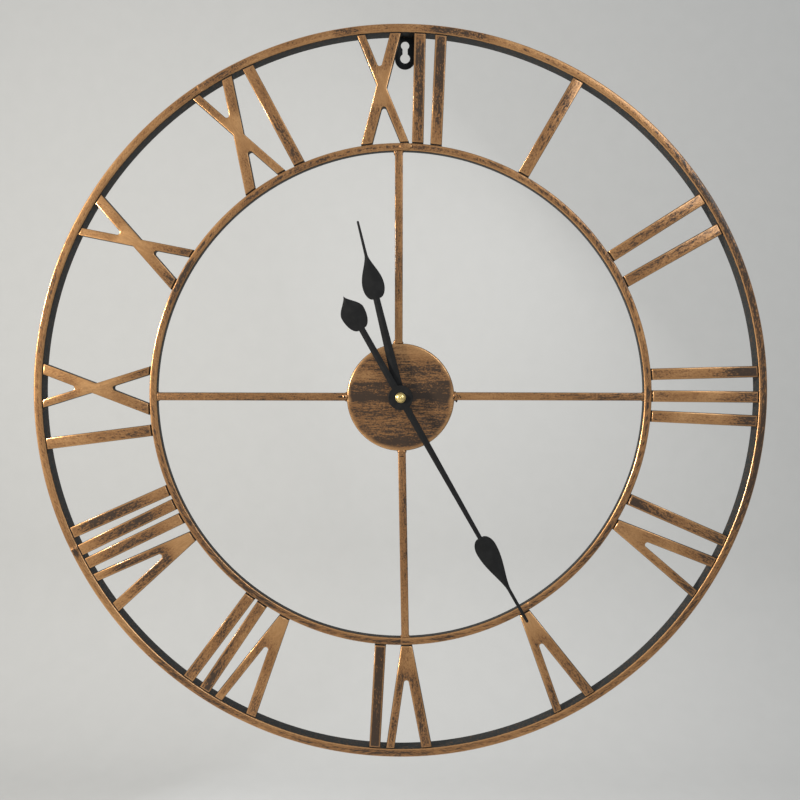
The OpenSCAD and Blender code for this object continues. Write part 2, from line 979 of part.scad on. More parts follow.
outer_ring();
inner_ring();
for (s = SPOKES) {
    spoke(s);
}
for (hour = [1:12]) {
    numeral(hour);
}
weld_beads();
hanger_plate();
centre_cup();
movement_base();
movement_cover();
gear_bridge();
rubber_washer();
fixing_washer();
fixing_nut();
battery();
contact_positive();
contact_negative();
circuit_board();
quartz_crystal();
timing_chip();
stator();
coil_core();
coil_bobbin();
coil_winding();
stator_screws();
rotor();
step_wheel();
seconds_wheel();
third_wheel();
minute_wheel();
motion_wheel();
hour_wheel();
setting_knob();
hour_hand();
hour_hand_boss();
minute_hand();
minute_hand_boss();
cap_nut();
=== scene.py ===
"""Skeleton wall clock in antique copper: the looks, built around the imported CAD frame.

Lengths of the clock are millimetres here, those of the studio are metres. A stand-off
is a distance in front of the wall, the plane y = 0. Dial angles run clockwise from twelve.
"""

import math

import bmesh
import bpy
from mathutils import Matrix, Vector, noise


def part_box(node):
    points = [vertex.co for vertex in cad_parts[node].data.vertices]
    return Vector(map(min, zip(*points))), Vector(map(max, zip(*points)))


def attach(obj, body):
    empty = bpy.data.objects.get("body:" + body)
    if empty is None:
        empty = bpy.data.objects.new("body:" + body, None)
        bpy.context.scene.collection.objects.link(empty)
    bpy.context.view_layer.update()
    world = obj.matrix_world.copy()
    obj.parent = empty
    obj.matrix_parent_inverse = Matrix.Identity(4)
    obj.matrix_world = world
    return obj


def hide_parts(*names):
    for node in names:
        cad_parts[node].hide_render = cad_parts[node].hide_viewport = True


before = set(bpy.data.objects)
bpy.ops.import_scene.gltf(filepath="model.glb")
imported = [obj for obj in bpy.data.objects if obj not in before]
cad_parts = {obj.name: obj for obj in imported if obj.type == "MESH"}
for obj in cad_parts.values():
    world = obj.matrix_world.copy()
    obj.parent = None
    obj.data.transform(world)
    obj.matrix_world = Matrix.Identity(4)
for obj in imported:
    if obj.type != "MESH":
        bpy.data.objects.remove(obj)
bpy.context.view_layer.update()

MM = 0.001
FRAME_BODY = "clock_frame"

# Stand-offs and radii shared by several pieces, read from the CAD nodes.
FRONT = -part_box("inner_ring")[0].y / MM
OUTER_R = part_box("outer_ring")[1].x / MM
OUTER_BACK = -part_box("outer_ring")[1].y / MM
INNER_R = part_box("inner_ring")[1].x / MM
INNER_BACK = -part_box("inner_ring")[1].y / MM
CUP_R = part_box("centre_cup")[1].x / MM

# Face widths of the rings and the thickness of all the sheet. The strokes of the
# numerals run from ring to ring.
OUTER_W = 6.9
INNER_W = 6.3
SHEET = 1.2
OUTER_INSIDE = OUTER_R - OUTER_W
INNER_INSIDE = INNER_R - INNER_W
STROKE_FROM = INNER_R
STROKE_TO = OUTER_INSIDE


# ---- Shader nodes ----

class Shade:
    """A material's node tree, with short ways to add the nodes that are used here."""

    def __init__(self, name):
        self.material = bpy.data.materials.new(name)
        self.material.use_nodes = True
        self.tree = self.material.node_tree
        self.tree.nodes.clear()
        self.surface = self.node("BsdfPrincipled")
        self.node("OutputMaterial", (self.surface.outputs[0],))

    def feed(self, socket, value):
        if isinstance(value, bpy.types.NodeSocket):
            self.tree.links.new(value, socket)
        else:
            socket.default_value = value

    def node(self, kind, values=(), **settings):
        made = self.tree.nodes.new("ShaderNode" + kind)
        for key, value in settings.items():
            setattr(made, key, value)
        for index, value in enumerate(values):
            if value is not None:
                self.feed(made.inputs[index], value)
        return made

    def fill(self, made, **values):
        """Feeds a node's inputs by name."""
        for key, value in values.items():
            self.feed(made.inputs[key], value)

    def math(self, operation, a, b=0.0, c=0.0):
        return self.node("Math", (a, b, c), operation=operation).outputs[0]

    def times(self, a, b):
        return self.math("MULTIPLY", a, b)

    def plus(self, a, b):
        return self.math("ADD", a, b)

    def minus(self, a, b):
        return self.math("SUBTRACT", a, b)

    def times_plus(self, a, b, c):
        """a times b, plus c."""
        return self.math("MULTIPLY_ADD", a, b, c)

    def apart(self, a, b):
        """How far apart two values are."""
        return self.math("ABSOLUTE", self.minus(a, b))

    def length(self, a, b):
        """How far (a, b) is from (0, 0)."""
        squares = [self.times(part, part) for part in (a, b)]
        return self.math("SQRT", self.plus(*squares))

    def step(self, value, low, high, to_low=0.0, to_high=1.0):
        """A smooth step from to_low to to_high as the value goes from low to high."""
        made = self.node("MapRange", (value, low, high, to_low, to_high),
                         interpolation_type="SMOOTHSTEP")
        return made.outputs[0]

    def mix(self, share, a, b):
        made = self.node("Mix", data_type="RGBA")
        self.feed(made.inputs[0], share)
        self.feed(made.inputs[6], a)
        self.feed(made.inputs[7], b)
        return made.outputs[2]

    def noise(self, vector, scale, detail=3.0, roughness=0.5):
        made = self.node("TexNoise")
        self.fill(made, Vector=vector, Scale=scale, Detail=detail, Roughness=roughness)
        return made.outputs["Fac"]

    def bump(self, height, strength, distance):
        """Unevenness of the surface; the distance is in millimetres."""
        made = self.node("Bump")
        self.fill(made, Strength=strength, Distance=distance * MM, Height=height)
        self.fill(self.surface, Normal=made.outputs[0])

    def stretched(self, vector, scale, offset=(0, 0, 0), turn=0.0):
        """The vector multiplied by the scale, turned about Y, then moved by the offset."""
        made = self.node("Mapping")
        self.fill(made, Vector=vector, Scale=scale, Rotation=(0, turn, 0), Location=offset)
        return made.outputs[0]

    def where(self, turn=0.0):
        """The place on the object in millimetres, turned about the dial's axis."""
        place = self.node("TexCoord").outputs["Object"]
        return self.stretched(place, (1 / MM, 1 / MM, 1 / MM), turn=turn)

    def streaks(self, place, scale, detail, roughness=0.5, offset=(0, 0, 0)):
        """Noise that is finer along X, Y and Z as their parts of the scale are larger."""
        return self.noise(self.stretched(place, scale, offset), 1.0, detail, roughness)

    def parts(self, vector):
        """The X, Y and Z of a vector."""
        return self.node("SeparateXYZ", (vector,)).outputs

    def finish(self, **values):
        names = {"color": "Base Color", "rough": "Roughness", "metal": "Metallic",
                 "coat": "Coat Weight", "coat_rough": "Coat Roughness",
                 "specular": "Specular IOR Level", "under": "Subsurface Weight"}
        for key, value in values.items():
            self.feed(self.surface.inputs[names[key]], value)
        return self.material


# ---- Materials ----

COPPER_LIGHT = (0.52, 0.285, 0.120, 1)
COPPER_MID = (0.40, 0.205, 0.080, 1)
COPPER_DEEP = (0.22, 0.100, 0.036, 1)
BLACK_COAT = (0.012, 0.009, 0.007, 1)
SLATE = (0.010, 0.013, 0.014, 1)

# How much each size of wear counts in the copper paint. Where the sum is above the bare
# level, the black shows; the level falls as the amount of black grows.
PATCH_WEAR = 1.5
STROKE_WEAR = 1.7
GRAIN_WEAR = 1.4
BARE_LEVEL = 2.90
LEVEL_FALL = 1.2
COPPER_METAL = 0.82
COAT_OVER_COPPER = 0.5


def polar_place(shade):
    """Place on a ring as (length along it, y, radius), and its angle and radius."""
    x, y, z = shade.parts(shade.where())
    radius = shade.length(x, z)
    angle = shade.math("ARCTAN2", x, z)
    along = shade.times(angle, radius)
    place = shade.node("CombineXYZ", (along, y, radius)).outputs[0]
    return place, angle, radius


def upright_place(shade, angle):
    """Place on a numeral or spoke turned so that it points up: (across, y, out)."""
    return shade.where(-angle)


def copper(shade, place, stretch, seed, amount, keep_clean, walls=0.0):
    """Copper paint brushed thinly over black: place is in mm, stretch is along the strokes.

    amount is how much of the black shows, 0 none to 1 nearly all. keep_clean is 1 where
    the copper is whole and rubbed bright. walls is 1 where a side wall is copper too.
    """
    # three sizes of wear, which add up to the places where the copper is thin or gone
    offset = (seed * 7.31, seed * 3.17, seed * 5.71)
    patches = shade.streaks(place, [s * 0.07 for s in stretch], 2.0, 0.5, offset)
    strokes = shade.streaks(place, [s * 0.8 for s in stretch], 3.0, 0.62, offset)
    grains = shade.streaks(place, [0.55 + 0.55 * s for s in stretch], 2.0, 0.6)
    worn = shade.times(strokes, STROKE_WEAR)
    worn = shade.times_plus(patches, PATCH_WEAR, worn)
    worn = shade.times_plus(grains, GRAIN_WEAR, worn)
    level = shade.times_plus(amount, -LEVEL_FALL, BARE_LEVEL)
    bare = shade.minus(worn, level)
    whole = shade.minus(1.0, keep_clean)
    black = shade.times(shade.step(bare, -0.20, 0.34), whole)
    thin = shade.times(shade.step(bare, -0.80, 0.05, 0.0, 0.8), whole)

    # the copper itself, lighter and darker in clouds, over the black
    cloud = shade.noise(place, 0.05, 2.0, 0.5)
    tone = shade.times_plus(strokes, 0.6, shade.times(cloud, 0.5))
    base = shade.mix(shade.step(tone, 0.38, 0.68), COPPER_MID, COPPER_LIGHT)
    base = shade.mix(thin, base, COPPER_DEEP)
    color = shade.mix(shade.times(black, 0.93), base, BLACK_COAT)

    # only what faces the room got copper: the sides stay slate, with a little dust of it
    normal = shade.node("TexCoord").outputs["Normal"]
    toward = shade.times(shade.parts(normal)[1], -1.0)
    ragged = shade.times_plus(grains, 0.5, toward)
    front = shade.math("MAXIMUM", shade.step(ragged, 0.60, 0.95), walls)
    dust = shade.mix(shade.step(grains, 0.5, 0.75, 0.0, 0.3), SLATE, COPPER_DEEP)
    color = shade.mix(front, dust, color)
    shown = shade.times(front, shade.minus(1.0, black))

    # the paint is uneven along the strokes, and smoother where the copper is whole
    shade.bump(shade.plus(shade.times(strokes, 0.6), shade.times(grains, 0.5)), 0.35, 0.22)
    rough = shade.times_plus(strokes, 0.22, 0.38)
    rough = shade.times_plus(shown, -0.14, rough)
    rough = shade.times_plus(keep_clean, -0.08, rough)
    return shade.finish(color=color, metal=shade.times(shown, COPPER_METAL),
                        rough=rough, specular=0.12, coat_rough=0.16,
                        coat=shade.times(front, COAT_OVER_COPPER))


# Dark stretches of the rings: middle and half width in degrees, and strength
OUTER_DARK = ((-8.5, 1.6, 0.55), (9.0, 4.5, 0.40), (-32, 6, 0.3), (-115.6, 0.35, 0.5),
              (95, 45, 0.36), (185, 40, 0.18))
INNER_DARK = ((14, 9, 0.12), (-62, 5, 0.3), (160, 14, 0.15))


def ring_copper(name, inside, outside, seed, amount, dark_arcs, scribble):
    """Copper of a ring with its dark arcs, whole along its rims.

    scribble is the strength of a broken dark line along the middle of the ring.
    """
    shade = Shade(name)
    place, angle, radius = polar_place(shade)
    jitter = shade.streaks(place, (0.6, 0.6, 0.6), 2.0)
    total = amount
    for middle, half, strength in dark_arcs:
        away = shade.minus(angle, math.radians(middle))
        away = shade.math("ABSOLUTE", shade.math("WRAP", away, math.pi, -math.pi))
        away = shade.times_plus(jitter, 0.012, away)
        near = shade.step(away, math.radians(half * 1.25 + 1.2), math.radians(half * 0.8),
                          0.0, strength)
        total = shade.plus(total, near)
    wander = 3.4
    drift = shade.streaks(place, (0.05, 0.0, 0.0), 2.0)
    line = shade.times_plus(drift, wander, (inside + outside) / 2 - wander / 2)
    off_line = shade.apart(radius, line)
    broken = shade.step(shade.streaks(place, (0.11, 0.0, 0.0), 3.0, 0.7), 0.44, 0.54)
    line = shade.times(shade.step(off_line, 1.5, 0.3, 0.0, scribble), broken)
    total = shade.plus(total, line)
    rim_from = 1.3
    rim_full = 0.4
    rim = shade.math("MAXIMUM", shade.step(radius, inside + rim_from, inside + rim_full),
                     shade.step(radius, outside - rim_from, outside - rim_full))
    outer_wall = shade.step(radius, outside - 0.25, outside - 0.05, 0.0, 0.85)
    return copper(shade, place, (0.16, 1.0, 1.0), seed, total,
                  shade.times(rim, 0.75), outer_wall)


def numeral_copper(name, angle, seed, black, crossed):
    """Copper of a numeral: black is a row of NUMERAL_BLACK.

    A V or an X is cleaner than a bar, and whole where its strokes cross or meet.
    """
    shade = Shade(name)
    place = upright_place(shade, angle)
    out = shade.parts(place)[2]
    amount, outer_dark, middle_dark, inner_dark = black
    center = (STROKE_FROM + STROKE_TO) / 2
    far = shade.step(out, STROKE_TO - 40, STROKE_TO - 6, 0.0, outer_dark)
    near = shade.step(out, STROKE_FROM + 22, STROKE_FROM + 3, 0.0, inner_dark)
    belt = shade.step(shade.apart(out, center + 3), 38, 16, 0.0, middle_dark)
    ends = shade.plus(belt, shade.plus(far, near))
    meeting = center if crossed else STROKE_FROM + 8
    letter = shade.node("Attribute", attribute_name="letter").outputs["Fac"]
    crossing = shade.step(shade.apart(out, meeting), 20, 8, 0.0, 0.45)
    crossing = shade.times(letter, crossing)
    edge = shade.node("Attribute", attribute_name="inland").outputs["Fac"]
    rub = shade.streaks(place, (0.9, 0.9, 0.25), 2.0)
    edge = shade.times_plus(rub, 0.9, edge)
    clean = shade.step(edge, 0.60, 1.25, 0.55, 0.0)
    total = shade.minus(shade.times_plus(letter, -0.17, amount), crossing)
    total = shade.plus(total, ends)
    return copper(shade, place, (1.0, 1.0, 0.22), seed, total, clean)


def spoke_copper(name, angle, seed):
    """Copper of a spoke, brushed along its length."""
    shade = Shade(name)
    place = upright_place(shade, angle)
    return copper(shade, place, (1.2, 1.0, 0.14), seed, 0.34, 0.0)


def blob_copper(name):
    """Copper of the weld lumps, on their sides too."""
    shade = Shade(name)
    return copper(shade, shade.where(), (1.0, 1.0, 1.0), 2.0, 0.30, 0.0, 0.35)


def disc_copper(name, dark_bands, seed):
    """Copper of the cup, brushed from side to side. dark_bands are (z, half, strength)."""
    shade = Shade(name)
    place = shade.where()
    x, _, z = shade.parts(place)
    radius = shade.length(x, z)
    sway = 10.0
    waves = shade.streaks(place, (0.03, 0.5, 0.10), 3.0)
    height = shade.times_plus(waves, sway, z)
    total = shade.step(height, 12.0, 2.0, 0.34, 0.66)
    for middle, half, strength in dark_bands:
        away = shade.apart(height, middle + sway / 2)
        total = shade.plus(total, shade.step(away, half + 2.6, half - 0.8, 0.0, strength))
    rim = shade.step(shade.times_plus(waves, 8.0, radius), 43.5, 48.0)
    return copper(shade, place, (0.13, 1.0, 1.25), seed, total, rim)


def graded(color, gain, lift=0.0):
    """The colour with each part multiplied and lifted, at most 1."""
    return tuple(min(1.0, part * gain + lift) for part in color[:3]) + (1,)


def painted_steel(name, color, rough):
    """Black stoving paint with a fine orange-peel skin and faint dust."""
    shade = Shade(name)
    place = shade.where()
    peel = shade.noise(place, 1.6, 2.0, 0.5)
    dust = shade.noise(place, 0.12, 4.0, 0.65)
    shade.bump(peel, 0.25, 0.08)
    tone = shade.mix(shade.step(dust, 0.42, 0.75, 0.0, 0.5), color, graded(color, 1.7, 0.003))
    return shade.finish(color=tone, specular=0.15,
                        rough=shade.times_plus(dust, 0.2, rough - 0.1))


def turned_metal(name, color, rough):
    """Bare metal with fine turning or rolling lines and a few dull spots."""
    shade = Shade(name)
    place = shade.where()
    lines = shade.noise(shade.stretched(place, (1.0, 0.06, 1.0)), 9.0, 2.0, 0.6)
    spots = shade.noise(place, 0.6, 4.0, 0.6)
    dull = graded(color, 0.8 / 1.35)
    shade.bump(lines, 0.22, 0.03)
    tone = shade.mix(shade.step(spots, 0.48, 0.72, 0.0, 0.65), color, dull)
    return shade.finish(color=tone, metal=0.95,
                        rough=shade.times_plus(lines, 0.18, rough - 0.08))


def plastic(name, color, rough, grain, under=0.0):
    """Moulded plastic: spark-eroded grain, slow gloss change and handling marks."""
    shade = Shade(name)
    place = shade.where()
    fine = shade.noise(place, grain, 2.0, 0.6)
    flow = shade.noise(place, 0.07, 3.0, 0.5)
    rubbed = graded(color, 1.25, 0.006)
    shade.bump(fine, 0.3, 0.05)
    tone = shade.mix(shade.step(flow, 0.4, 0.7, 0.0, 0.7), color, rubbed)
    return shade.finish(color=tone, specular=0.45, under=under,
                        rough=shade.times_plus(flow, 0.18, rough - 0.08))


def printed_sleeve(name):
    """Battery sleeve: two printed colours around the cell, under a clear film."""
    green = (0.018, 0.075, 0.060, 1)
    silver = (0.50, 0.51, 0.50, 1)
    scuffed = (0.30, 0.31, 0.30, 1)
    shade = Shade(name)
    place = shade.where()
    x = shade.parts(place)[0]
    scuffs = shade.streaks(place, (0.4, 3.0, 3.0), 4.0, 0.7)
    band = shade.step(x, 12.2, 12.35)
    line = shade.times(shade.step(x, 10.6, 10.7), shade.step(x, 11.3, 11.2))
    tone = shade.mix(band, green, silver)
    tone = shade.mix(line, tone, silver)
    tone = shade.mix(shade.step(scuffs, 0.55, 0.75, 0.0, 0.25), tone, scuffed)
    shade.bump(scuffs, 0.1, 0.03)
    return shade.finish(color=tone, metal=0.25, coat=0.6, coat_rough=0.12,
                        rough=shade.times_plus(scuffs, 0.2, 0.25))


def board_green(name):
    """Circuit board: solder mask over copper tracks."""
    shade = Shade(name)
    place = shade.where()
    grid = shade.node("TexBrick", (place,), offset=0.0)
    shade.fill(grid, Scale=0.55)
    grid.inputs["Mortar Size"].default_value = 0.06
    tracks = grid.outputs["Fac"]
    cloth = shade.noise(place, 3.0, 2.0)
    tone = shade.mix(shade.times(tracks, 0.8), (0.02, 0.16, 0.06, 1),
                     (0.05, 0.30, 0.10, 1))
    shade.bump(shade.plus(tracks, shade.times(cloth, 0.4)), 0.4, 0.06)
    return shade.finish(color=tone, coat=0.5, coat_rough=0.2,
                        rough=shade.times_plus(cloth, 0.2, 0.35))


def wound_wire(name):
    """Enamelled copper wire, wound in fine turns along Z, with painted shade in the grooves
    between the turns.
    """
    shade = Shade(name)
    place = shade.where()
    turns = shade.node("TexWave", (place,), wave_type="BANDS", bands_direction="Z")
    shade.fill(turns, Scale=1.4, Distortion=0.3)
    shade.bump(turns.outputs["Fac"], 0.8, 0.12)
    # painted shade: the colour goes dark in the grooves between the turns, where the bump is
    # lowest
    tone = shade.mix(turns.outputs["Fac"], (0.20, 0.055, 0.02, 1), (0.72, 0.28, 0.11, 1))
    return shade.finish(color=tone, metal=0.8, coat=0.5, coat_rough=0.15, rough=0.3)


HAND_BLACK = painted_steel("hand_black", (0.007, 0.0072, 0.0075, 1), 0.50)
BLACK_STEEL = painted_steel("black_steel", (0.010, 0.011, 0.012, 1), 0.55)
# dark weld metal, also used as painted shade for the pit and crack of the weld lumps
WELD_DARK_AND_PAINTED_SHADE = painted_steel("weld_dark_and_painted_shade", (0.012, 0.009, 0.007, 1), 0.55)
BRASS = turned_metal("brass", (0.78, 0.60, 0.24, 1), 0.28)
STEEL = turned_metal("spring_steel", (0.62, 0.62, 0.63, 1), 0.30)
IRON = turned_metal("iron_sheet", (0.42, 0.43, 0.45, 1), 0.42)
MAGNET = turned_metal("magnet", (0.16, 0.16, 0.17, 1), 0.45)
CASE_BLACK = plastic("case_plastic", (0.018, 0.018, 0.020, 1), 0.52, 3.2)
NYLON = plastic("white_nylon", (0.74, 0.72, 0.66, 1), 0.45, 2.4, 0.12)
RUBBER = plastic("black_rubber", (0.012, 0.012, 0.012, 1), 0.8, 4.0)
EPOXY = plastic("chip_epoxy", (0.012, 0.012, 0.013, 1), 0.3, 1.2)
SLEEVE = printed_sleeve("battery_sleeve")
BOARD = board_green("green_board")
WIRE = wound_wire("enamelled_wire")


# ---- Mesh helpers ----

def into_scene(name, data):
    made = bpy.data.objects.new(name, data)
    bpy.context.scene.collection.objects.link(made)
    return made


def put(name, mesh, material, body, replaced=()):
    """Makes an object of a finished mesh, on a body and CAD nodes."""
    mesh.materials.append(material)
    piece = into_scene(name, mesh)
    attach(piece, body)
    if replaced:
        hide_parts(*replaced)


def to_mesh(bm, name, smooth_degrees=35):
    """Finishes a bmesh held in millimetres as a mesh in metres, smooth but for sharp edges."""
    bmesh.ops.recalc_face_normals(bm, faces=bm.faces)
    limit = math.radians(smooth_degrees)
    for face in bm.faces:
        face.smooth = True
    for edge in bm.edges:
        if len(edge.link_faces) == 2:
            edge.smooth = edge.calc_face_angle(0.0) < limit
    bmesh.ops.scale(bm, vec=(MM, MM, MM), verts=bm.verts)
    mesh = bpy.data.meshes.new(name)
    bm.to_mesh(mesh)
    bm.free()
    return mesh


def cad_copy(node):
    """A CAD node's shape as a bmesh in millimetres, with its flat faces whole again."""
    bm = bmesh.new()
    bm.from_mesh(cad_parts[node].data)
    bmesh.ops.scale(bm, vec=(1 / MM, 1 / MM, 1 / MM), verts=bm.verts)
    bmesh.ops.remove_doubles(bm, verts=bm.verts, dist=0.002)
    bmesh.ops.dissolve_limit(bm, angle_limit=math.radians(1.0), verts=bm.verts,
                             edges=bm.edges)
    return bm


def bevel(bm, edges, width, segments, careful=True):
    bmesh.ops.bevel(bm, geom=edges, offset=width, offset_type="OFFSET", segments=segments,
                    profile=0.5, affect="EDGES", clamp_overlap=careful)


def sharp_edges(bm):
    limit = math.radians(30)
    return [e for e in bm.edges
            if len(e.link_faces) == 2 and e.calc_face_angle(0.0) > limit]


def softened(node, material, body, width):
    """A CAD node with its sharp edges rounded as moulding or stamping leaves them."""
    bm = cad_copy(node)
    bevel(bm, sharp_edges(bm), width, 2)
    put(node + "_skin", to_mesh(bm, node), material, body, [node])


def rough_at(point, scale, seed):
    """Smooth noise from -1 to 1 at a point in millimetres."""
    return noise.noise(Vector(point) * scale + Vector((seed * 13.7, seed * 5.3, seed)))


def join_rows(bm, rows, closed_rows, closed_ring):
    """Faces between rows of vertices; rows may close on themselves and on each other."""
    count = len(rows)
    width = len(rows[0])
    for i in range(count if closed_ring else count - 1):
        a = rows[i]
        b = rows[(i + 1) % count]
        for j in range(width if closed_rows else width - 1):
            k = (j + 1) % width
            bm.faces.new((a[j], a[k], b[k], b[j]))


def corner_arc(center, radius, from_degrees, to_degrees, steps=6):
    """Points of a quarter round in a profile of (radius, stand-off)."""
    points = []
    for i in range(steps + 1):
        a = math.radians(from_degrees + (to_degrees - from_degrees) * i / steps)
        points.append((center[0] + radius * math.cos(a), center[1] + radius * math.sin(a)))
    return points


def lathe(bm, profile, angles, shape=None):
    """Turns a closed profile of (radius, stand-off) about the dial's axis."""
    rows = []
    for a in angles:
        row = []
        for r, s in profile:
            if shape:
                r, s = shape(a, r, s)
            row.append(bm.verts.new((r * math.sin(a), -s, r * math.cos(a))))
        rows.append(row)
    join_rows(bm, rows, True, True)


def even_angles(count):
    return [2 * math.pi * i / count for i in range(count)]


def blob(bm, center, radii, seed, lump=0.25, turn=0.0, detail=3):
    """Adds a lumpy ball to a bmesh: radii are across, deep and out, turned clockwise."""
    ball = bmesh.ops.create_icosphere(bm, subdivisions=detail, radius=1.0)["verts"]
    spin = Matrix.Rotation(turn, 3, "Y")
    for v in ball:
        grow = 1 + lump * rough_at(v.co, 1.4, seed) + lump * 0.4 * rough_at(v.co, 3.5, seed + 5)
        co = Vector((v.co.x * radii[0], v.co.y * radii[1], v.co.z * radii[2])) * grow
        v.co = spin @ co + Vector(center)
    return ball


def on_dial(across, out, stand_off, degrees):
    """A point given as seen with its own dial angle pointing up."""
    a = math.radians(degrees)
    return Vector((across * math.cos(a) + out * math.sin(a), -stand_off,
                   -across * math.sin(a) + out * math.cos(a)))


# ---- Rings ----

def channel_profile(inside, outside, back, corner):
    """A folded channel, open at the back, with rounded front edges."""
    profile = [(inside + SHEET, back), (inside, back)]
    profile += corner_arc((inside + corner, FRONT - corner), corner, 180, 90)
    profile += corner_arc((outside - corner, FRONT - corner), corner, 90, 0)
    profile += [(outside, back), (outside - SHEET, back),
                (outside - SHEET, FRONT - SHEET - 0.3), (outside - SHEET - 0.3, FRONT - SHEET),
                (inside + SHEET + 0.3, FRONT - SHEET), (inside + SHEET, FRONT - SHEET - 0.3)]
    return profile


def ring(node, inside, outside, back, seams, material):
    """A rolled ring, slightly uneven, with a filed weld across it at each seam."""
    sway = 0.12
    sink = 0.10
    bead_height = 0.34
    dent_depth = 0.30
    angles = even_angles(480)
    for seam in seams:
        angles += [math.radians(seam) + i * 0.3 / outside for i in range(-12, 13)]
    angles = sorted(a % (2 * math.pi) for a in set(angles))

    def uneven(a, r, s):
        around = (40 * math.sin(a), 0, 40 * math.cos(a))
        r += sway * rough_at(around, 0.09, 1)
        depth = (s - back) / (FRONT - back)
        s -= sink * depth * (1 + rough_at(around, 0.12, 2))
        for index, seam in enumerate(seams):
            off = (a - math.radians(seam) + math.pi) % (2 * math.pi) - math.pi
            off *= outside / 1.1
            wave = rough_at((r * 1.3, s, index * 9), 0.8, 3)
            s += bead_height * math.exp(-(off + 0.6 * wave) ** 2) * depth
            s -= dent_depth * math.exp(-(off - 3.2 + wave) ** 2 / 2.5) * depth
        return r, s

    bm = bmesh.new()
    lathe(bm, channel_profile(inside, outside, back, 1.5), angles, uneven)
    name = node + "_skin"
    put(name, to_mesh(bm, name), material, FRAME_BODY, [node])


# ---- Numerals ----

# How much black shows on each numeral: all over, and more at its outer end, in the
# middle of its strokes and at its inner end
NUMERAL_BLACK = ((0.44, 0.05, 0.20, 0.0), (0.40, 0.12, 0.10, 0.10), (0.30, 0.58, 0.0, 0.12),
                 (0.44, 0.42, 0.0, 0.34), (0.40, 0.36, 0.10, 0.0), (0.68, 0.15, 0.12, 0.20),
                 (0.36, 0.24, 0.10, 0.08), (0.36, -0.10, 0.42, -0.05), (0.32, 0.0, 0.10, 0.26),
                 (0.38, 0.0, 0.05, 0.42), (0.34, 0.18, 0.10, 0.14), (0.44, 0.16, 0.14, 0.0))


# A point this near a ring's radius, in millimetres, lies on the ring
ON_RING = 0.08


def stroke_ends(bm, angle, radius):
    """Sideways spans where a numeral's strokes meet a ring, as (low, high) pairs.

    They come from the edges of the front plane that lie on the ring; spans that touch
    each other are one stroke.
    """
    flat = 0.05
    touching = 0.2
    spans = []
    for edge in bm.edges:
        a, b = (v.co for v in edge.verts)
        if max(abs(math.hypot(p.x, p.z) - radius) for p in (a, b)) > ON_RING:
            continue
        if min(a.y, b.y) > -FRONT + flat or abs(a.y - b.y) > flat:
            continue
        spans.append(sorted(p.x * math.cos(angle) - p.z * math.sin(angle) for p in (a, b)))
    spans.sort()
    merged = []
    for low, high in spans:
        if merged and low < merged[-1][1] + touching:
            merged[-1][1] = max(high, merged[-1][1])
        else:
            merged.append([low, high])
    return merged


def shorten(bm, radius, gap, seed):
    """Draws the corners that lie on a ring back from it by a ragged gap."""
    for v in bm.verts:
        r = math.hypot(v.co.x, v.co.z)
        if abs(r - radius) < ON_RING:
            move = gap + math.copysign(0.2, gap) * rough_at(v.co, 0.7, seed)
            v.co.x *= (r + move) / r
            v.co.z *= (r + move) / r


def front_faces(bm, near):
    """Faces whose middle is this near the front plane."""
    return [f for f in bm.faces if abs(f.calc_center_median().y + FRONT) < near]


def numeral(hour):
    """The CAD numeral with folded edges, a faintly crowned face and ends short of the rings.

    Returns its weld places, as (angle, low, high, radius) with the span taken sideways.
    """
    weld_in = 0.35
    fold = 0.95
    border = 0.8
    crown = 0.10
    node = "numeral_%d" % hour
    angle = math.radians(30 * hour)
    bm = cad_copy(node)
    welds = []
    for radius, at in ((STROKE_FROM, STROKE_FROM + weld_in), (STROKE_TO, STROKE_TO - weld_in)):
        for low, high in stroke_ends(bm, angle, radius):
            welds.append((angle, low, high, at))
    shorten(bm, STROKE_FROM, 0.75, hour)
    shorten(bm, STROKE_TO, -0.7, hour + 20)
    bmesh.ops.remove_doubles(bm, verts=bm.verts, dist=0.4)
    fronts = set(front_faces(bm, 0.02))
    rim = [e for e in bm.edges if sum(f in fronts for f in e.link_faces) == 1]
    bevel(bm, rim, fold, 4, False)
    fronts = [f for f in front_faces(bm, 0.005) if abs(f.normal.y) > 0.999]
    bmesh.ops.inset_region(bm, faces=fronts, thickness=border, depth=0.0, use_even_offset=True)
    inland = bm.verts.layers.float.new("inland")
    mark_letter(bm, angle)
    for f in fronts:
        for v in f.verts:
            v[inland] = 1.0
            v.co.y -= crown
    material = numeral_copper("copper_%d" % hour, angle, hour * 1.7, NUMERAL_BLACK[hour - 1],
                              hour > 8)
    name = node + "_skin"
    put(name, to_mesh(bm, name, 50), material, FRAME_BODY, [node])
    return welds


def mark_letter(bm, angle):
    """Sets the vertex value "letter" to 1 on a V or an X and leaves it 0 on plain bars."""
    widest_bar = 24
    letter = bm.verts.layers.float.new("letter")
    waiting = set(bm.verts)
    while waiting:
        reached = [waiting.pop()]
        group = []
        while reached:
            v = reached.pop()
            group.append(v)
            for e in v.link_edges:
                other = e.other_vert(v)
                if other in waiting:
                    waiting.remove(other)
                    reached.append(other)
        across = [v.co.x * math.cos(angle) - v.co.z * math.sin(angle) for v in group]
        if max(across) - min(across) > widest_bar:
            for v in group:
                v[letter] = 1.0


def stroke_welds(welds):
    """Dark lumps at the welds, below the front, that give a dark line between each stroke's end
    and its ring.
    """
    bm = bmesh.new()
    for index, (angle, low, high, out) in enumerate(welds):
        count = max(3, round((high - low) / 1.5))
        for i in range(count):
            across = low + 0.9 + (high - low - 1.8) * i / (count - 1)
            radial = math.sqrt(max(0.0, out * out - across * across))
            shift = 0.25 * rough_at((i, index, 0), 0.9, 4)
            place = on_dial(across, radial + shift, FRONT - 2.1, math.degrees(angle))
            blob(bm, place, (1.05, 1.5, 1.0), index + i * 0.37, 0.3, angle, 2)
    put("stroke_welds", to_mesh(bm, "stroke_welds", 60), WELD_DARK_AND_PAINTED_SHADE, FRAME_BODY)


# ---- Spokes and cup ----

SPOKES = (("top", 0), ("right", 90), ("bottom", 180), ("left", 270))


